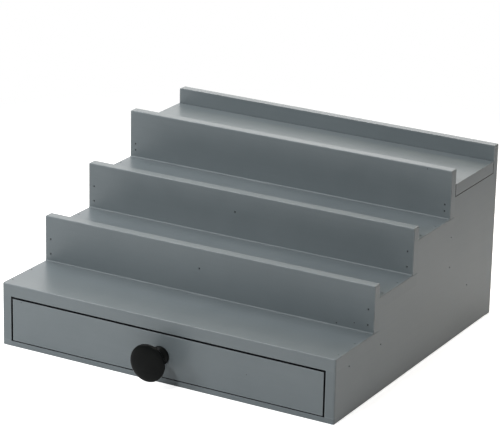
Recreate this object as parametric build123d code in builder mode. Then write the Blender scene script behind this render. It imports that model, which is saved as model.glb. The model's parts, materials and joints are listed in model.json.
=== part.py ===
"""Cologne organizer: a painted wooden stand of four tiers over a drawer.

Two stepped side panels carry everything. Three shelves lie over their steps, three
risers stand on the shelves and rise above the tier behind as lips, and the top tier is
a loose lid over a hidden compartment. The drawer fills the base under a dust panel.

The origin is the middle of the footprint, on the surface that the stand rests on.
X runs along the drawer front, Y from the front to the back, Z up. Sizes are in mm.
"""
import os

from build123d import *

os.makedirs("parts", exist_ok=True)

# Boards
width = 330.0
side_board = 9.0
riser_board = 8.5
back_board = 8.5
shelf_board = 11.5
bottom_board = 5.0
dust_board = 5.0

# Tiers: the depth of each tread and the heights
front_tread = 67.0
middle_tread = 62.0
lid_tread = 79.5
first_height = 58.0
rise = 30.0
riser_lip = 12.5
top_lip = 14.5

# Eased edges and corners
edge_round = 1.5
tread_round = 0.8
foot_round = 0.8
corner_round = 1.2
rim_round = 0.8
lid_round = 0.4

# Dust panel under the first shelf, and the lid over the compartment
dust_setback = 20.0
lid_front_gap = 1.0
lid_back_gap = 0.5
lid_rest_gap = 0.4
cleat_wide = 8.0
cleat_high = 8.0
cleat_side_gap = 1.0
cleat_end_gap = 8.0

# Drawer
drawer_end_gap = 1.7
drawer_top_gap = 1.8
drawer_bottom_gap = 0.7
drawer_slide_gap = 0.3
drawer_back_gap = 0.5
drawer_front_board = 9.0
drawer_side_board = 8.0
drawer_back_board = 8.0
drawer_bottom_board = 3.0
drawer_headroom = 3.7
rebate_depth = 5.0
groove_depth = 3.0
groove_rise = 4.0
groove_end_gap = 0.3
drawer_round = 0.4

# Knob, a turned mushroom a little left of the middle, and its screw
knob_offset = -2.3
knob_base_radius = 8.5
knob_base_thick = 2.2
knob_neck_radius = 5.6
knob_neck_reach = 8.5
knob_flare_radius = 13.0
knob_flare_reach = 17.5
knob_head_radius = 16.9
knob_head_reach = 19.6
knob_rim_thick = 2.6
knob_dome = 1.6
knob_rim_round = 1.2
screw_radius = 2.0
screw_play = 0.15
screw_head_radius = 4.0
screw_head_thick = 2.4
screw_head_round = 1.0
screw_depth = 12.0
bore_spare = 2.0

# Brads: flat wire with a chisel tip, set just below the paint
nail_wide = 1.6
nail_thin = 1.2
nail_length = 25.0
short_nail_length = 14.0
nail_tip = 1.5
nail_set = 0.8
riser_nail_inset = 5.8
riser_nail_rise = 7.0
riser_nail_drop = 9.0
top_riser_nail_rise = 13.0
riser_middle_nails = (-5.0, -11.0)
shelf_nail_inset = 3.4
shelf_nail_setbacks = (11.0, 40.0)
dust_nail_setbacks = (24.0, 81.0, 250.0)
partition_nail_rises = (26.0, 54.0)
back_nail_heights = (28.0, 78.0, 120.0)
back_dust_nail_reach = 80.0
bottom_nail_setbacks = (40.0, 150.0, 262.0)
drawer_nail_rises = (13.0, 26.0)
cleat_nail_inset = 14.0

# Worked out from the sizes above
shelf_count = 3
treads = [front_tread, middle_tread, middle_tread, lid_tread]
depth = sum(treads) + shelf_count * riser_board + back_board
front = -depth / 2
back = depth / 2
back_front = back - back_board
inner_half = width / 2 - side_board
tier_tops = [first_height + rise * tier for tier in range(shelf_count + 1)]
seats = [top - shelf_board for top in tier_tops]
tread_fronts = [front]
for tread in treads[:-1]:
    tread_fronts.append(tread_fronts[-1] + tread + riser_board)
seat_backs = tread_fronts[1:] + [back_front]
riser_fronts = [seat_back - riser_board for seat_back in seat_backs[:-1]]
riser_tops = [tier_tops[1] + riser_lip, tier_tops[2] + riser_lip, tier_tops[3] + top_lip]
back_top = tier_tops[3] + top_lip
dust_top = seats[0]
dust_bottom = dust_top - dust_board
partition_front = riser_fronts[-1]

drawer_half = inner_half - drawer_end_gap
drawer_front_low = bottom_board + drawer_bottom_gap
drawer_front_high = seats[0] - drawer_top_gap
drawer_low = bottom_board + drawer_slide_gap
drawer_high = dust_bottom - drawer_headroom
drawer_inner_face = front + drawer_front_board
drawer_back = back_front - drawer_back_gap
drawer_inner_half = drawer_half - drawer_side_board
groove_low = drawer_low + groove_rise
knob_height = (drawer_front_low + drawer_front_high) / 2

lid_low = seats[-1] + lid_rest_gap
lid_front = seat_backs[-2] + lid_front_gap
lid_back = back_front - lid_back_gap
cleat_middle = inner_half - cleat_side_gap - cleat_wide / 2
cleat_low = lid_low - cleat_high
SIDES = {"left": -1, "right": 1}


def save(piece, name):
    """Label a finished piece and write its STEP file."""
    piece.part.label = name
    export_step(piece.part, f"parts/{name}.step")


def board(x_span, y_span, z_span):
    """A plain square-edged board between pairs of limits."""
    (x_low, x_high), (y_low, y_high), (z_low, z_high) = x_span, y_span, z_span
    with BuildPart() as plank:
        with BuildSketch(Plane.XY.offset(z_low)):
            with Locations(((x_low + x_high) / 2, (y_low + y_high) / 2)):
                Rectangle(x_high - x_low, y_high - y_low)
        extrude(amount=z_high - z_low)
    return plank


def wires(spots, length, start):
    """Flat wires with a chisel tip, each driven from a spot on a surface.

    A spot is the point, the direction it is driven in and the way its wide side lies.
    """
    tip = nail_set + length
    with BuildPart() as group:
        for point, drive, across in spots:
            normal = Vector(across).cross(Vector(drive))
            with BuildSketch(Plane(origin=point, x_dir=across, z_dir=normal)):
                with BuildLine():
                    Polyline(
                        (-nail_wide / 2, start),
                        (-nail_wide / 2, tip - nail_tip),
                        (0, tip),
                        (nail_wide / 2, tip - nail_tip),
                        (nail_wide / 2, start),
                        close=True,
                    )
                make_face()
        extrude(amount=nail_thin / 2, both=True)
    return group


def brads(spots, length):
    """The brads and the tracks that they leave in the boards, open at the surface."""
    return wires(spots, length, nail_set), wires(spots, length, -nail_set).part


# Where each group of brads goes in
to_back, to_front, up, down = (0, 1, 0), (0, -1, 0), (0, 0, 1), (0, 0, -1)
along_x, along_y = (1, 0, 0), (0, 1, 0)

riser_spots = []
for step, riser_front in enumerate(riser_fronts):
    low = tier_tops[step] + riser_nail_rise
    high = tier_tops[step + 1] - riser_nail_drop
    if step == shelf_count - 1:
        high = tier_tops[step] + top_riser_nail_rise
    for side in SIDES.values():
        for height in (low, high):
            spot = (side * (width / 2 - riser_nail_inset), riser_front, height)
            riser_spots.append((spot, to_back, up))
for step, x in enumerate(riser_middle_nails):
    edge_middle = tier_tops[step + 1] - shelf_board / 2
    riser_spots.append(((x, riser_fronts[step], edge_middle), to_back, up))

shelf_spots = [
    ((side * (width / 2 - shelf_nail_inset), tread_fronts[step] + setback, tier_tops[step]), down, along_x)
    for step in range(shelf_count)
    for side in SIDES.values()
    for setback in shelf_nail_setbacks
]

side_spots = []
for side in SIDES.values():
    inwards = (-side, 0, 0)
    for setback in dust_nail_setbacks:
        spot = (side * width / 2, front + setback, dust_top - dust_board / 2)
        side_spots.append((spot, inwards, along_y))
    for nail_rise in partition_nail_rises:
        spot = (side * width / 2, partition_front + riser_board / 2, dust_top + nail_rise)
        side_spots.append((spot, inwards, along_y))

back_spots = []
bottom_spots = []
for side in SIDES.values():
    edge_x = side * (width / 2 - side_board / 2)
    for height in back_nail_heights:
        back_spots.append(((edge_x, back, height), to_front, along_x))
    dust_spot = (side * back_dust_nail_reach, back, dust_top - dust_board / 2)
    back_spots.append((dust_spot, to_front, along_x))
    for setback in bottom_nail_setbacks:
        bottom_spots.append(((edge_x, front + setback, 0), up, along_x))

drawer_spots = []
for side in SIDES.values():
    inwards = (-side, 0, 0)
    for y in (drawer_inner_face - rebate_depth / 2, drawer_back - drawer_back_board / 2):
        for nail_rise in drawer_nail_rises:
            spot = (side * drawer_half, y, drawer_low + nail_rise)
            drawer_spots.append((spot, inwards, along_y))

lid_spots = [
    ((side * cleat_middle, y, cleat_low), up, along_x)
    for side in SIDES.values()
    for y in (lid_front + cleat_end_gap + cleat_nail_inset, lid_back - cleat_end_gap - cleat_nail_inset)
]

riser_nails, riser_tracks = brads(riser_spots, nail_length)
shelf_nails, shelf_tracks = brads(shelf_spots, nail_length)
side_nails, side_tracks = brads(side_spots, nail_length)
back_nails, back_tracks = brads(back_spots, nail_length)
bottom_nails, bottom_tracks = brads(bottom_spots, nail_length)
drawer_nails, drawer_tracks = brads(drawer_spots, nail_length)
lid_nails, lid_tracks = brads(lid_spots, short_nail_length)

save(riser_nails, "riser_nails")
save(shelf_nails, "shelf_nails")
save(side_nails, "side_nails")
save(back_nails, "back_nails")
save(bottom_nails, "bottom_nails")
save(drawer_nails, "drawer_nails")
save(lid_nails, "lid_nails")

# Side panels: one stepped profile, cut for the shelves and, at the top, for the lid
step_profile = [(front, bottom_board), (back_front, bottom_board)]
for seat_front, seat_back, seat in reversed(list(zip(tread_fronts, seat_backs, seats))):
    step_profile += [(seat_back, seat), (seat_front, seat)]

for name, side in SIDES.items():
    with BuildPart() as side_panel:
        with BuildSketch(Plane.YZ.offset(side * width / 2)):
            with BuildLine():
                Polyline(*step_profile, close=True)
            make_face()
        extrude(amount=-side * side_board)
        front_edges = side_panel.edges().filter_by(Axis.Z).group_by(Axis.Y)[0]
        fillet(front_edges.sort_by(lambda edge: -side * edge.center().X)[0], edge_round)
        for tracks in (riser_tracks, shelf_tracks, side_tracks, back_tracks, bottom_tracks):
            add(tracks, mode=Mode.SUBTRACT)
    save(side_panel, f"{name}_side_panel")

# Bottom panel, under the sides, with the bottom and front corners eased
with BuildPart() as bottom_panel:
    add(board((-width / 2, width / 2), (front, back_front), (0, bottom_board)).part)
    fillet(bottom_panel.edges().filter_by(Axis.Z).group_by(Axis.Y)[0], edge_round)
    fillet(bottom_panel.faces().sort_by(Axis.Z)[0].edges().sort_by(Axis.Y)[:-1], foot_round)
    add(bottom_tracks, mode=Mode.SUBTRACT)
save(bottom_panel, "bottom_panel")

# Shelves: each lies over the sides and runs back under its riser
for step in range(shelf_count):
    with BuildPart() as shelf:
        seat_span = (tread_fronts[step], seat_backs[step])
        add(board((-width / 2, width / 2), seat_span, (seats[step], tier_tops[step])).part)
        if step == 0:
            fillet(shelf.edges().filter_by(Axis.Z).group_by(Axis.Y)[0], edge_round)
            fillet(shelf.faces().sort_by(Axis.Z)[-1].edges().sort_by(Axis.Y)[:-1], tread_round)
        else:
            fillet(shelf.faces().sort_by(Axis.Z)[-1].edges().filter_by(Axis.Y), tread_round)
        add(shelf_tracks, mode=Mode.SUBTRACT)
        add(riser_tracks, mode=Mode.SUBTRACT)
    save(shelf, f"tier_{step + 1}_shelf")


def upright(board_front, thickness, low, high, outwards, tracks):
    """A full-width board on edge, eased along the top and ends of its outward face."""
    with BuildPart() as plank:
        with BuildSketch(Plane.XZ.offset(-board_front)) as face:
            with Locations((0, (low + high) / 2)):
                Rectangle(width, high - low)
            fillet(face.vertices().group_by(Axis.Y)[-1], corner_round)
        extrude(amount=-thickness)
        outer_face = plank.faces().sort_by(outwards)[-1]
        fillet(outer_face.edges().sort_by(Axis.Z)[1:], rim_round)
        add(tracks, mode=Mode.SUBTRACT)
    return plank


for step, riser_front in enumerate(riser_fronts):
    riser = upright(riser_front, riser_board, tier_tops[step], riser_tops[step], -Axis.Y, riser_tracks)
    save(riser, f"riser_{step + 1}")

save(upright(back_front, back_board, 0, back_top, Axis.Y, back_tracks), "back_panel")

# Dust panel: the drawer's ceiling and the floor of the compartment
with BuildPart() as dust_panel:
    dust_span = (front + dust_setback, back_front)
    add(board((-inner_half, inner_half), dust_span, (dust_bottom, dust_top)).part)
    add(side_tracks, mode=Mode.SUBTRACT)
    add(back_tracks, mode=Mode.SUBTRACT)
save(dust_panel, "dust_panel")

# Partition under the last riser: the front wall of the compartment
with BuildPart() as partition:
    partition_span = (partition_front, partition_front + riser_board)
    add(board((-inner_half, inner_half), partition_span, (dust_top, seats[-2])).part)
    add(side_tracks, mode=Mode.SUBTRACT)
save(partition, "compartment_partition")

# Lid: a loose slab between the lips, kept in place by two cleats inside the compartment
with BuildPart() as lid:
    add(board((-width / 2, width / 2), (lid_front, lid_back), (lid_low, tier_tops[-1])).part)
    fillet(lid.edges(), lid_round)
    add(lid_tracks, mode=Mode.SUBTRACT)
save(lid, "compartment_lid")

for name, side in SIDES.items():
    with BuildPart() as cleat:
        cleat_x = (side * cleat_middle - cleat_wide / 2, side * cleat_middle + cleat_wide / 2)
        cleat_y = (lid_front + cleat_end_gap, lid_back - cleat_end_gap)
        add(board(cleat_x, cleat_y, (cleat_low, lid_low)).part)
        fillet(cleat.edges().group_by(Axis.Z)[0], drawer_round)
        add(lid_tracks, mode=Mode.SUBTRACT)
    save(cleat, f"lid_{name}_cleat")

# Drawer front: rebated at both ends for the sides, grooved for the bottom
with BuildPart() as drawer_front:
    with BuildSketch(Plane.XY.offset(drawer_front_low)):
        with Locations((0, front + drawer_front_board / 2)):
            Rectangle(2 * drawer_half, drawer_front_board)
        for side in SIDES.values():
            rebate_middle = side * (drawer_half - drawer_side_board / 2)
            with Locations((rebate_middle, drawer_inner_face - rebate_depth / 2)):
                Rectangle(drawer_side_board, rebate_depth, mode=Mode.SUBTRACT)
    extrude(amount=drawer_front_high - drawer_front_low)
    fillet(drawer_front.faces().sort_by(Axis.Y)[0].edges(), drawer_round)
    with BuildSketch(Plane.XY.offset(groove_low)):
        with Locations((0, drawer_inner_face - groove_depth / 2)):
            Rectangle(2 * drawer_inner_half, groove_depth)
    extrude(amount=drawer_bottom_board, mode=Mode.SUBTRACT)
    with Locations(Plane(origin=(knob_offset, drawer_inner_face, knob_height), z_dir=to_back)):
        Hole(screw_radius + screw_play, depth=drawer_front_board)
    add(drawer_tracks, mode=Mode.SUBTRACT)
save(drawer_front, "drawer_front")

# Drawer sides: they slide on the bottom panel and carry the drawer bottom in a groove
for name, side in SIDES.items():
    with BuildPart() as drawer_side:
        inner_x, outer_x = sorted((side * drawer_inner_half, side * drawer_half))
        side_y = (drawer_inner_face - rebate_depth, drawer_back)
        add(board((inner_x, outer_x), side_y, (drawer_low, drawer_high)).part)
        fillet(drawer_side.edges().group_by(Axis.Z)[-1].filter_by(Axis.Y), drawer_round)
        with BuildSketch(Plane.XY.offset(groove_low)):
            with Locations((side * (drawer_inner_half + groove_depth / 2), sum(side_y) / 2)):
                Rectangle(groove_depth, side_y[1] - side_y[0])
        extrude(amount=drawer_bottom_board, mode=Mode.SUBTRACT)
        add(drawer_tracks, mode=Mode.SUBTRACT)
    save(drawer_side, f"drawer_{name}_side")

# Drawer back, between the sides
with BuildPart() as drawer_rear:
    rear_y = (drawer_back - drawer_back_board, drawer_back)
    add(board((-drawer_inner_half, drawer_inner_half), rear_y, (drawer_low, drawer_high)).part)
    fillet(drawer_rear.edges().group_by(Axis.Z)[-1].filter_by(Axis.X), drawer_round)
    with BuildSketch(Plane.XY.offset(groove_low)):
        with Locations((0, rear_y[0] + groove_depth / 2)):
            Rectangle(2 * drawer_inner_half, groove_depth)
    extrude(amount=drawer_bottom_board, mode=Mode.SUBTRACT)
    add(drawer_tracks, mode=Mode.SUBTRACT)
save(drawer_rear, "drawer_back")

# Drawer bottom, held in the groove on all four sides
groove_reach = groove_depth - groove_end_gap
bottom_x = drawer_inner_half + groove_reach
bottom_y = (drawer_inner_face - groove_reach, rear_y[0] + groove_reach)
bottom_z = (groove_low, groove_low + drawer_bottom_board)
save(board((-bottom_x, bottom_x), bottom_y, bottom_z), "drawer_bottom")

# Knob: turned in one piece, base, waisted neck and a wide slightly domed head
knob_face_reach = knob_head_reach + knob_rim_thick
knob_length = knob_face_reach + knob_dome
knob_dome_radius = (knob_head_radius**2 + knob_dome**2) / (2 * knob_dome)
knob_foot = (knob_offset, front, knob_height)
knob_plane = Plane(origin=knob_foot, x_dir=to_front, z_dir=(-1, 0, 0))
with BuildPart() as knob:
    with BuildSketch(knob_plane) as turning:
        with BuildLine():
            Polyline((0, 0), (0, knob_base_radius), (knob_base_thick, knob_base_radius))
            Spline(
                (knob_base_thick, knob_base_radius),
                (knob_neck_reach, knob_neck_radius),
                (knob_flare_reach, knob_flare_radius),
            )
            Polyline(
                (knob_flare_reach, knob_flare_radius),
                (knob_head_reach, knob_head_radius),
                (knob_face_reach, knob_head_radius),
            )
            RadiusArc((knob_face_reach, knob_head_radius), (knob_length, 0), knob_dome_radius)
            Line((knob_length, 0), (0, 0))
        make_face()
        fillet(turning.vertices().group_by(Axis.Y)[-1].sort_by(Axis.X)[-1], knob_rim_round)
    revolve(axis=Axis(knob_foot, to_front))
    with Locations(Plane(origin=knob_foot, z_dir=to_back)):
        Hole(screw_radius, depth=screw_depth + bore_spare)
save(knob, "drawer_knob")

# Knob screw, from inside the drawer
screw_plane = Plane(origin=(knob_offset, drawer_inner_face, knob_height), z_dir=to_back)
with BuildPart() as screw:
    with BuildSketch(screw_plane):
        Circle(screw_head_radius)
    extrude(amount=screw_head_thick)
    fillet(screw.faces().sort_by(Axis.Y)[-1].edges(), screw_head_round)
    with BuildSketch(screw_plane):
        Circle(screw_radius)
    extrude(amount=-(drawer_front_board + screw_depth))
save(screw, "knob_screw")
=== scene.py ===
"""Looks of the painted cologne organizer: its paint, its turned knob and the small marks of its making."""
import json
from math import radians

import bpy
from mathutils import Matrix, Vector


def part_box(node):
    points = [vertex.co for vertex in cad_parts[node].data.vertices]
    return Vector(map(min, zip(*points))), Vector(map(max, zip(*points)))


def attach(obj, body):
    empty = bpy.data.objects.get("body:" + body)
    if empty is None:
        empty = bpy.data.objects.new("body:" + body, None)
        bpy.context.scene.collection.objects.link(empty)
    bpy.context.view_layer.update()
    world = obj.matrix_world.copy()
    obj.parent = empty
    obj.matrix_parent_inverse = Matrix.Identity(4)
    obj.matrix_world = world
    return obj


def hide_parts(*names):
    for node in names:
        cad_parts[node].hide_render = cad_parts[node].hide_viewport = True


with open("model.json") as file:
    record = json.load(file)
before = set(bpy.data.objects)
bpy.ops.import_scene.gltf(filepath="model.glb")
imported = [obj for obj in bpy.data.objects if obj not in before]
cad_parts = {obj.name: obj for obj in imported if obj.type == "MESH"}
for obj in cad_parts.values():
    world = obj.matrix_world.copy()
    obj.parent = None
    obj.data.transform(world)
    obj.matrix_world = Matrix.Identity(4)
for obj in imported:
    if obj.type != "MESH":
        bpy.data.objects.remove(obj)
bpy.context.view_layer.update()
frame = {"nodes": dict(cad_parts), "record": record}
nodes = frame["nodes"]

MM = 0.001
TO_FRONT = Vector((0, -1, 0))
TO_BACK = Vector((0, 1, 0))
WHITE = (1, 1, 1, 1)


# Materials

class Value:
    """The output of a node, which Python's own signs turn into Math nodes."""

    def __init__(self, shader, output):
        self.shader = shader
        self.output = output

    def math(self, operation, first, second):
        return self.shader.node("ShaderNodeMath", {"operation": operation}, {0: first, 1: second})

    def __add__(self, other):
        return self.math("ADD", self, other)

    def __sub__(self, other):
        return self.math("SUBTRACT", self, other)

    def __rsub__(self, other):
        return self.math("SUBTRACT", other, self)

    def __mul__(self, other):
        return self.math("MULTIPLY", self, other)

    __radd__ = __add__
    __rmul__ = __mul__

    def larger(self, other):
        return self.math("MAXIMUM", self, other)

    def smaller(self, other):
        return self.math("MINIMUM", self, other)

    def fade(self, start, end):
        """From 0 at start to 1 at end, smoothly."""
        sockets = {"Value": self, "From Min": start, "From Max": end}
        return self.shader.node("ShaderNodeMapRange", {"interpolation_type": "SMOOTHSTEP"}, sockets)

    def past(self, start, soft=1.0 * MM):
        """1 beyond a place on an axis, 0 before it."""
        return self.fade(start, start + soft)

    def before(self, end, soft=1.0 * MM):
        """1 up to a place on an axis, 0 once it is passed."""
        return 1 - self.past(end, soft)

    def between(self, start, end, soft=0.1 * MM):
        """1 from start to end on an axis, 0 outside."""
        return self.past(start - soft, soft) * self.before(end, soft)


class Shader:
    """The node tree of a material or a world, and the one way in which nodes come into it."""

    def __init__(self, owner):
        owner.use_nodes = True
        self.tree = owner.node_tree
        self.tree.nodes.clear()

    def node(self, kind, settings=None, sockets=None, output=0):
        """Adds a node, sets it up, gives its sockets their values or links, and returns one output."""
        made = self.tree.nodes.new(kind)
        for name, setting in (settings or {}).items():
            setattr(made, name, setting)
        for name, value in (sockets or {}).items():
            if isinstance(value, Value):
                self.tree.links.new(value.output, made.inputs[name])
            else:
                made.inputs[name].default_value = value
        return Value(self, made.outputs[output]) if made.outputs else None

    def seen(self):
        """1 for what the camera sees and what is mirrored, 0 for the light that falls on things."""
        rays = ("Is Camera Ray", "Is Glossy Ray", "Is Transmission Ray")
        camera, glossy, transmission = (self.node("ShaderNodeLightPath", output=ray) for ray in rays)
        return camera.larger(glossy).larger(transmission)


class Finish(Shader):
    """A material that goes by the place on the object."""

    def __init__(self, name):
        self.material = bpy.data.materials.new(name)
        super().__init__(self.material)
        self.place = self.node("ShaderNodeTexCoord", output="Object")
        self.x, self.y, self.z = (
            self.node("ShaderNodeSeparateXYZ", {}, {0: self.place}, output=axis) for axis in "XYZ")

    def stretched(self, scale, offset=(0, 0, 0)):
        """The object's coordinates, drawn out so that a pattern on them has a direction."""
        return self.node("ShaderNodeMapping", {}, {"Vector": self.place, "Location": offset, "Scale": scale})

    def noise(self, scale, detail, place=None, roughness=0.5):
        sockets = {"Vector": place or self.place, "Scale": scale, "Detail": detail, "Roughness": roughness}
        return self.node("ShaderNodeTexNoise", {}, sockets)

    def mix(self, share, first, second):
        """Blends two colours. 6, 7 and output 2 are the Mix node's sockets for colours."""
        return self.node("ShaderNodeMix", {"data_type": "RGBA"}, {0: share, 6: first, 7: second}, output=2)

    def cloudy(self, pattern, first, second):
        """Blends two colours by the middle of a noise pattern's range."""
        return self.mix(pattern.fade(0.3, 0.7), first, second)

    def bump(self, height, distance):
        return self.node("ShaderNodeBump", {}, {"Height": height, "Distance": distance, "Strength": 1.0})

    def surface(self, colour, roughness, normal, others):
        """Ends the material in a Principled BSDF, whose other sockets keep one value all over."""
        sockets = {"Base Color": colour, "Roughness": roughness, "Normal": normal, **others}
        self.output(self.node("ShaderNodeBsdfPrincipled", {}, sockets))
        return self.material

    def output(self, shader):
        self.node("ShaderNodeOutputMaterial", {}, {"Surface": shader})


PAINT_DARK = (0.162, 0.190, 0.202, 1)
PAINT_LIGHT = (0.186, 0.215, 0.227, 1)
# Lighter paint along the open edges: worn thin there, and a painted highlight for the light the edges catch
PAINT_WORN_HIGHLIGHT = (0.33, 0.36, 0.37, 1)
PAINT_SHINE = {"Specular IOR Level": 0.32}
BEAD_DARK = (0.168, 0.196, 0.207, 1)
BEAD_LIGHT = (0.194, 0.223, 0.234, 1)
SPECK_BLACK = (0.01, 0.011, 0.012, 1)
# Painted shade: the black for the faces in the gaps round the drawer bay and under the lid
PAINTED_SHADE_BLACK = (0.004, 0.004, 0.005, 1)

# The board behind each riser, over whose top the riser stands as a lip
NEXT_UP = {"riser_1": "tier_2_shelf", "riser_2": "tier_3_shelf", "riser_3": "compartment_lid"}
# Boards that get painted shade, black where they face the gaps round the drawer bay and the lid
GAP_SHADED_BOARDS = ("left_side_panel", "right_side_panel", "bottom_panel", "back_panel", "tier_1_shelf", "dust_panel",
           "compartment_lid", "drawer_front")
# x, z and radius of the specks in a board's front face, in millimetres
SPECKS = {
    "riser_1": ((129.7, 60.8, 0.9), (146.5, 64.4, 0.7)),
    "riser_3": ((141.1, 160.5, 0.6),),
    "drawer_front": ((-145.2, 43.0, 0.6), (81.6, 26.2, 0.5)),
}


def board_edges(finish, low, high):
    """1 along the twelve edges of a board, 0 a little way in from them."""
    near = []
    for along, start, end in zip((finish.x, finish.y, finish.z), low, high):
        distance = (along - start).smaller(end - along)
        near.append(1 - distance.fade(0.2 * MM, 1.4 * MM))
    return (near[0] * near[1]).larger(near[1] * near[2]).larger(near[0] * near[2])


def open_edges(finish, node, low, high):
    """1 where the edges of a board lie open, 0 where they meet the next board."""
    middle = (low + high) / 2
    if node.endswith("shelf"):
        riser_low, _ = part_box(f"riser_{node[5]}")
        tread = finish.z.past(middle.z) * finish.y.before(riser_low.y - 0.5 * MM, 0.5 * MM)
        return tread if node == "tier_1_shelf" else tread * finish.y.past(low.y + 1.5 * MM)
    if node in NEXT_UP:
        _, tier_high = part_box(NEXT_UP[node])
        above_foot = finish.z.past(low.z + 2.5 * MM, 1.5 * MM)
        return above_foot * finish.y.before(middle.y).larger(finish.z.past(tier_high.z))
    if node.endswith("side_panel"):
        return finish.y.before(low.y + 2 * MM)
    if node == "bottom_panel":
        return finish.z.before(middle.z - MM)
    if node == "back_panel":
        _, lid_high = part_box("compartment_lid")
        return finish.y.past(middle.y).larger(finish.z.past(lid_high.z))
    if node == "compartment_lid":
        return finish.z.past(middle.z)
    if node == "drawer_front":
        return finish.y.before(middle.y)
    return 1.0


def painted_gap_shade(finish, node):
    """1 where painted shade makes a board black: all round the drawer bay, and under the lid, so that the
    gaps there read dark.
    """
    rim = 0.2 * MM
    step = 0.3 * MM
    hair = 0.05 * MM
    bottom_face = 5.0 * MM
    bay_low, bay_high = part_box("dust_panel")
    front_low, front_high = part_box("drawer_front")
    mouth = front_low.y + 0.15 * MM
    if node == "drawer_front":
        face = finish.x.between(front_low.x + rim, front_high.x - rim)
        face = face * finish.z.between(front_low.z + rim, front_high.z - rim)
        return (1 - face) * finish.y.past(mouth, step)
    lid_low, lid_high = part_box("compartment_lid")
    if node == "compartment_lid":
        front = finish.x.between(lid_low.x + rim, lid_high.x - rim) * finish.y.before(lid_low.y, step)
        front = front * finish.z.before(lid_high.z - 0.6 * MM, 0.2 * MM)
        underside = finish.z.before(lid_low.z + 0.1 * MM, step)
        return front.larger(underside)
    top = bay_high.z - 0.1 * MM if node == "dust_panel" else bay_high.z + hair
    shade_mask = finish.x.between(bay_low.x - hair, bay_high.x + hair, hair)
    shade_mask = shade_mask * finish.y.between(mouth, bay_high.y + hair)
    shade_mask = shade_mask * finish.z.between(bottom_face - hair, top, hair)
    if node.endswith("side_panel"):
        lid_seat = finish.z.past(lid_low.z - 0.6 * MM, 0.15 * MM)
        shade_mask = shade_mask.larger(lid_seat)
    return shade_mask


def grey_paint(node, grain, seed):
    """Sprayed satin paint: faint board grain under it, orange peel, lighter along the open edges, partly as
    paint worn thin and partly as a painted highlight, and painted shade in the gaps of the drawer bay and
    the lid.
    """
    finish = Finish(f"paint_{node}")
    low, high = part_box(node)
    shift = (seed * 0.37, seed * 0.19, seed * 0.53)
    board = finish.stretched((1, 1, 1), shift)
    drift = finish.noise(7.0, 2.0, board)
    haze = finish.noise(38.0, 3.0, board)
    fibre = finish.noise(1.0, 4.0, finish.stretched(grain, shift), roughness=0.62)
    peel = finish.noise(520.0, 1.5)
    patchy = finish.noise(60.0, 3.0).fade(0.3, 0.62)
    # Lighter along the open edges: partly paint worn thin, partly a painted highlight for the light the
    # edges catch
    worn_and_highlight = board_edges(finish, low, high) * open_edges(finish, node, low, high) * patchy
    colour = finish.cloudy(drift * 0.55 + fibre * 0.15 + haze * 0.3, PAINT_DARK, PAINT_LIGHT)
    colour = finish.mix(worn_and_highlight * 0.3, colour, PAINT_WORN_HIGHLIGHT)
    for x, z, radius in SPECKS.get(node, ()):
        aside, above = finish.x - x * MM, finish.z - z * MM
        away = aside * aside + above * above
        speck = (1 - away.fade((0.4 * radius * MM) ** 2, (radius * MM) ** 2)) * finish.y.before(low.y)
        colour = finish.mix(speck * 0.85, colour, SPECK_BLACK)
    # Painted shade: the faces round the drawer bay and under the lid go black, so the gaps read dark
    if node in GAP_SHADED_BOARDS:
        colour = finish.mix(painted_gap_shade(finish, node), colour, PAINTED_SHADE_BLACK)
    roughness = 0.30 + haze * 0.10 + worn_and_highlight * 0.05
    normal = finish.bump(peel * 0.7 + fibre * 0.3, 0.05 * MM)
    return finish.surface(colour, roughness, normal, PAINT_SHINE)


def bead_paint():
    """The same paint, thick and smooth, on the filler along the risers' feet."""
    finish = Finish("paint_filler_bead")
    haze = finish.noise(38.0, 3.0)
    lumps = finish.noise(160.0, 2.0)
    colour = finish.cloudy(haze, BEAD_DARK, BEAD_LIGHT)
    return finish.surface(colour, 0.33 + haze * 0.1, finish.bump(lumps, 0.08 * MM), PAINT_SHINE)


def dark_wire():
    """Heads of the brads, near black and a little uneven."""
    finish = Finish("dark_wire")
    speckle = finish.noise(2400.0, 3.0)
    colour = finish.mix(speckle.fade(0.35, 0.65), (0.004, 0.005, 0.006, 1), (0.014, 0.015, 0.017, 1))
    return finish.surface(colour, 0.50 + speckle * 0.2, finish.bump(speckle, 0.03 * MM), {"Metallic": 0.6})


def black_knob():
    """Satin black enamel on the turned knob, faintly clouded and flecked."""
    finish = Finish("black_knob_enamel")
    fleck = finish.noise(900.0, 2.0)
    cloud = finish.noise(90.0, 3.0)
    colour = finish.cloudy(cloud, (0.0018, 0.0024, 0.0024, 1), (0.0032, 0.0040, 0.0038, 1))
    normal = finish.bump(fleck, 0.012 * MM)
    return finish.surface(colour, 0.26 + cloud * 0.08, normal, {"Specular IOR Level": 0.06})


def zinc_screw():
    """Zinc plated steel with fine marks drawn out along the screw."""
    finish = Finish("zinc_plated_screw")
    marks = finish.noise(1500.0, 2.0, finish.stretched((1, 0.2, 1)))
    colour = finish.cloudy(marks, (0.46, 0.46, 0.45, 1), (0.62, 0.62, 0.60, 1))
    return finish.surface(colour, 0.28 + marks * 0.15, finish.bump(marks, 0.02 * MM), {"Metallic": 1.0})


def wear(obj, material):
    """Gives an object one material in every slot."""
    if not obj.data.materials:
        obj.data.materials.append(material)
    for index in range(len(obj.data.materials)):
        obj.data.materials[index] = material


GRAIN_ALONG_X = (9.0, 330.0, 330.0)
GRAIN_ALONG_Y = (330.0, 9.0, 330.0)
BOARDS_ALONG_Y = ("left_side_panel", "right_side_panel", "drawer_left_side", "drawer_right_side",
                  "lid_left_cleat", "lid_right_cleat")
painted = [part["node"] for part in frame["record"]["subparts"] if part["material_slot"] == "grey_paint"]
for seed, node in enumerate(painted):
    grain = GRAIN_ALONG_Y if node in BOARDS_ALONG_Y else GRAIN_ALONG_X
    wear(nodes[node], grey_paint(node, grain, seed))

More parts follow.
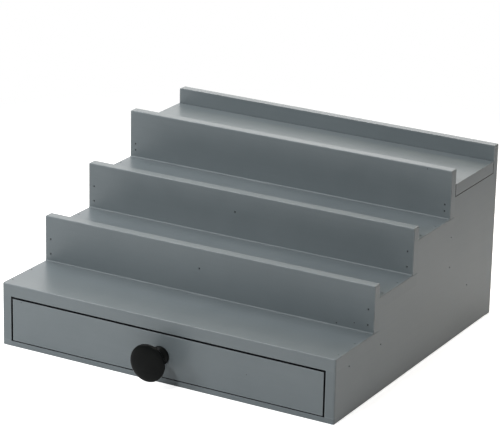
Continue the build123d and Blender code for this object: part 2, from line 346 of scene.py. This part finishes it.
wire = dark_wire()
for node in nodes:
    if node.endswith("_nails"):
        wear(nodes[node], wire)


# Pieces

def deselect():
    if bpy.context.object and bpy.context.object.mode == "EDIT":
        bpy.ops.object.mode_set(mode="OBJECT")
    bpy.ops.object.select_all(action="DESELECT")


def finished(name, body, material, smooth):
    """Puts the piece's place into its mesh, shades it, and lets it ride on its body."""
    if bpy.context.object.mode == "EDIT":
        bpy.ops.object.mode_set(mode="OBJECT")
    piece = bpy.context.object
    piece.name = name
    bpy.ops.object.transform_apply(location=True, rotation=True, scale=True)
    bpy.ops.object.shade_smooth_by_angle(angle=radians(smooth))
    wear(piece, material)
    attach(piece, body)
    return piece


def ease_edges(width, segments):
    """Bevels the edges of the new piece that turn by more than 30 degrees."""
    bpy.ops.object.mode_set(mode="OBJECT")
    bevel = bpy.context.object.modifiers.new("eased", "BEVEL")
    bevel.width = width
    bevel.segments = segments
    bevel.limit_method = "ANGLE"
    bevel.angle_limit = radians(30)
    bpy.ops.object.modifier_apply(modifier=bevel.name)


def curve_through(reach, points):
    """The radius at a reach on the curve through some points of a turned neck."""
    radius = 0.0
    for index, (at, height) in enumerate(points):
        share = height
        for other, (place, _) in enumerate(points):
            if other != index:
                share *= (reach - place) / (at - place)
        radius += share
    return radius


def turn(origin, profile, way, vertices):
    """Draws a round form out of a disc, through rings of a reach and a radius in millimetres."""
    deselect()
    reach, radius = profile[0]
    centre = origin + way * reach * MM
    bpy.ops.mesh.primitive_circle_add(
        vertices=vertices, radius=radius * MM, fill_type="NGON", location=centre,
        rotation=(radians(90), 0, 0))
    bpy.ops.object.mode_set(mode="EDIT")
    bpy.ops.mesh.select_mode(type="FACE")
    bpy.ops.mesh.select_all(action="SELECT")
    for next_reach, next_radius in profile[1:]:
        step = way * (next_reach - reach) * MM
        centre = centre + step
        bpy.ops.mesh.extrude_region_move(TRANSFORM_OT_translate={"value": step})
        ratio = next_radius / radius
        bpy.ops.transform.resize(value=(ratio, 1, ratio), center_override=centre)
        reach, radius = next_reach, next_radius
    bpy.ops.mesh.select_all(action="SELECT")
    bpy.ops.mesh.remove_doubles(threshold=0.01 * MM)
    bpy.ops.mesh.normals_make_consistent(inside=False)


knob_low, knob_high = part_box("drawer_knob")
knob_foot = Vector(((knob_low.x + knob_high.x) / 2, knob_high.y, (knob_low.z + knob_high.z) / 2))
neck = ((2.2, 8.2), (8.5, 5.6), (17.5, 13.0))
base_rings = [(0, 8.1), (0.5, 8.5), (1.7, 8.5), (2.2, 8.2)]
neck_rings = [(reach, curve_through(reach, neck)) for reach in (3.4, 5.0, 7.0, 9.0, 11.5, 13.5, 15.5)]
head_rings = [(17.5, 13.0), (19.0, 15.9), (19.7, 16.7), (20.4, 16.9), (21.2, 16.9), (21.7, 16.6)]
dome_rings = [(22.1, 15.9), (22.6, 13.5), (23.1, 10.5), (23.5, 6.5), (23.75, 3.0), (23.8, 1.0)]
turn(knob_foot, base_rings + neck_rings + head_rings + dome_rings, TO_FRONT, 96)
ease_edges(0.3 * MM, 2)
knob = finished("turned_knob", "drawer", black_knob(), 40)
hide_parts("drawer_knob")

RECESS_LONG, RECESS_SHORT = 4.4, 0.9
CUTTER_HEIGHT = 2.2  # half of it stands out of the head
screw_low, screw_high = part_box("knob_screw")
screw_tip = Vector(((screw_low.x + screw_high.x) / 2, screw_low.y, (screw_low.z + screw_high.z) / 2))
shank_rings = [(0, 1.5), (0.5, 2.0), (21.0, 2.0)]
pan_rings = [(21.0, 3.8), (21.2, 4.0), (22.0, 3.95), (22.7, 3.6), (23.15, 2.9), (23.4, 1.8)]
turn(screw_tip, shank_rings + pan_rings, TO_BACK, 48)
screw = finished("pan_head_screw", "drawer", zinc_screw(), 35)
for across, upright in ((RECESS_LONG, RECESS_SHORT), (RECESS_SHORT, RECESS_LONG)):
    deselect()
    bpy.ops.mesh.primitive_cube_add(
        size=MM, location=(screw_tip.x, screw_high.y, screw_tip.z), scale=(across, CUTTER_HEIGHT, upright))
    cutter = bpy.context.object
    deselect()
    bpy.context.view_layer.objects.active = screw
    recess = screw.modifiers.new("recess", "BOOLEAN")
    recess.operation = "DIFFERENCE"
    recess.solver = "EXACT"
    recess.object = cutter
    bpy.ops.object.modifier_apply(modifier=recess.name)
    bpy.data.objects.remove(cutter)
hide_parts("knob_screw")


BEAD_SIZE = 1.0 * MM
BEAD_SHORT = 0.9 * MM  # by how much a bead is shorter than its riser
BEAD_SCOOP = 0.85 * MM  # how much of each side its hollow face takes up
BEAD_HOLLOW = 0.12  # how hollow that face is, where 0.5 would be round
BEAD_CUTS = 60
BEAD_WANDER = 0.07 * MM  # how far its surface strays


def select_edges(strip, wanted):
    """Selects the edges whose two ends pass a test."""
    bpy.ops.mesh.select_all(action="DESELECT")
    bpy.ops.object.mode_set(mode="OBJECT")
    for edge in strip.data.edges:
        edge.select = wanted(*(strip.data.vertices[index].co for index in edge.vertices))
    bpy.ops.object.mode_set(mode="EDIT")


def foot_bead(name, riser, seed, material):
    """A thin bead of filler in the corner where a riser stands on its shelf."""
    low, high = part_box(riser)
    deselect()
    bpy.ops.mesh.primitive_cube_add(
        size=1, location=(0, low.y - BEAD_SIZE / 2, low.z + BEAD_SIZE / 2),
        scale=(high.x - low.x - BEAD_SHORT, BEAD_SIZE, BEAD_SIZE))
    bpy.ops.object.transform_apply(location=True, rotation=True, scale=True)
    strip = bpy.context.object

    def in_the_open(place, share):
        return place.y < low.y - share * BEAD_SIZE and place.z > low.z + share * BEAD_SIZE

    def outer(first, second):
        middle = (first + second) / 2
        return abs(middle.x) < MM and in_the_open(middle, 0.9)

    def lengthwise(first, second):
        return abs(first.x - second.x) > (high.x - low.x) / 2

    bpy.ops.object.mode_set(mode="EDIT")
    bpy.ops.mesh.select_mode(type="EDGE")
    select_edges(strip, outer)
    bpy.ops.mesh.bevel(offset=BEAD_SCOOP, segments=4, profile=BEAD_HOLLOW)
    select_edges(strip, lengthwise)
    bpy.ops.mesh.subdivide(number_cuts=BEAD_CUTS)
    bpy.ops.object.mode_set(mode="OBJECT")
    for vertex in strip.data.vertices:
        vertex.select = in_the_open(vertex.co, 0.1)
    bpy.ops.object.mode_set(mode="EDIT")
    bpy.ops.mesh.select_mode(type="VERT")
    bpy.ops.transform.vertex_random(offset=BEAD_WANDER, seed=seed)
    bpy.ops.mesh.select_all(action="SELECT")
    bpy.ops.mesh.normals_make_consistent(inside=False)
    finished(name, "carcase", material, 50)


bead = bead_paint()
for seed, riser in enumerate(NEXT_UP):
    foot_bead(f"{riser}_foot_bead", riser, seed, bead)


# Studio

def floor():
    """A white table top round the origin that turns into the white of the backdrop."""
    deselect()
    bpy.ops.mesh.primitive_plane_add(size=9, location=(0, 0, 0))
    table = bpy.context.object
    table.name = "floor"
    finish = Finish("floor_white")
    length = {"operation": "LENGTH"}
    from_middle = finish.node("ShaderNodeVectorMath", length, {0: finish.place}, output="Value")
    far = from_middle.fade(0.35, 0.75)
    lit = finish.node("ShaderNodeBsdfDiffuse", {}, {"Color": (0.91, 0.91, 0.91, 1)})
    glow = finish.node("ShaderNodeEmission", {}, {"Color": WHITE, "Strength": 0.84})
    near = finish.node("ShaderNodeAddShader", {}, {0: lit, 1: glow})
    white = finish.node("ShaderNodeEmission", {}, {"Color": WHITE, "Strength": 1.0})
    shown = finish.node("ShaderNodeMixShader", {}, {0: far, 1: near, 2: white})
    dim = finish.node("ShaderNodeBsdfDiffuse", {}, {"Color": (0.85, 0.85, 0.85, 1)})
    finish.output(finish.node("ShaderNodeMixShader", {}, {0: finish.seen(), 1: dim, 2: shown}))
    wear(table, finish.material)


def backdrop(strength):
    """White to the camera and in reflections, and a plain soft light on the object."""
    world = bpy.data.worlds.new("studio")
    bpy.context.scene.world = world
    sky = Shader(world)
    soft = sky.node("ShaderNodeBackground", {}, {"Color": WHITE, "Strength": strength})
    white = sky.node("ShaderNodeBackground", {}, {"Color": WHITE, "Strength": 1.0})
    either = sky.node("ShaderNodeMixShader", {}, {0: sky.seen(), 1: soft, 2: white})
    sky.node("ShaderNodeOutputWorld", {}, {"Surface": either})


def softbox(name, place, aim, size, power, tint):
    """A square lamp at a place, turned to what it aims at."""
    lamp = bpy.data.lights.new(name, "AREA")
    lamp.shape = "SQUARE"
    lamp.size = size
    lamp.energy = power
    lamp.color = tint
    holder = bpy.data.objects.new(name, lamp)
    holder.location = place
    holder.rotation_euler = (Vector(aim) - Vector(place)).to_track_quat("-Z", "Y").to_euler()
    bpy.context.scene.collection.objects.link(holder)


floor()
backdrop(0.03)
softbox("key", (-0.055, -1.20, 1.22), (0, -0.12, 0.03), 0.14, 8.7, (1.0, 1.0, 1.0))
softbox("left_softbox", (-0.60, -0.70, 0.50), (-0.05, -0.1, 0.05), 0.3, 2.2, (0.96, 0.98, 1.0))
softbox("back_softbox", (-1.00, 1.20, 0.62), (0, 0, 0.1), 0.8, 2.2, (1.0, 0.98, 0.97))
softbox("back_right_softbox", (-0.35, 1.25, 0.60), (0.1, 0.1, 0.16), 0.5, 1.05, (1.0, 0.98, 1.0))
softbox("warm_back_softbox", (0.1, 0.9, 1.2), (0, -0.2, 0), 0.6, 1.6, (1.0, 0.70, 0.25))
softbox("lid_softbox", (0.15, 0.75, 0.75), (0.15, 0.1, 0.15), 0.25, 2.8, (1.0, 0.96, 0.88))
softbox("top_softbox", (-0.60, 0.05, 1.05), (0, 0, 0.1), 0.7, 8.1, (0.99, 0.99, 1.0))

CAMERA_PLACE = (1.0489, -1.8673, 0.8494)
AZIMUTH, ELEVATION, ROLL = radians(29.42), radians(-19.057), radians(1.244)
camera_data = bpy.data.cameras.new("camera")
camera_data.lens = 184.15
camera_data.sensor_width = 36.0
camera = bpy.data.objects.new("camera", camera_data)
camera.matrix_world = (
    Matrix.Translation(CAMERA_PLACE) @ Matrix.Rotation(AZIMUTH, 4, "Z")
    @ Matrix.Rotation(radians(90) + ELEVATION, 4, "X") @ Matrix.Rotation(ROLL, 4, "Z"))
bpy.context.scene.collection.objects.link(camera)
bpy.context.scene.camera = camera
bpy.context.scene.view_settings.view_transform = "Standard"
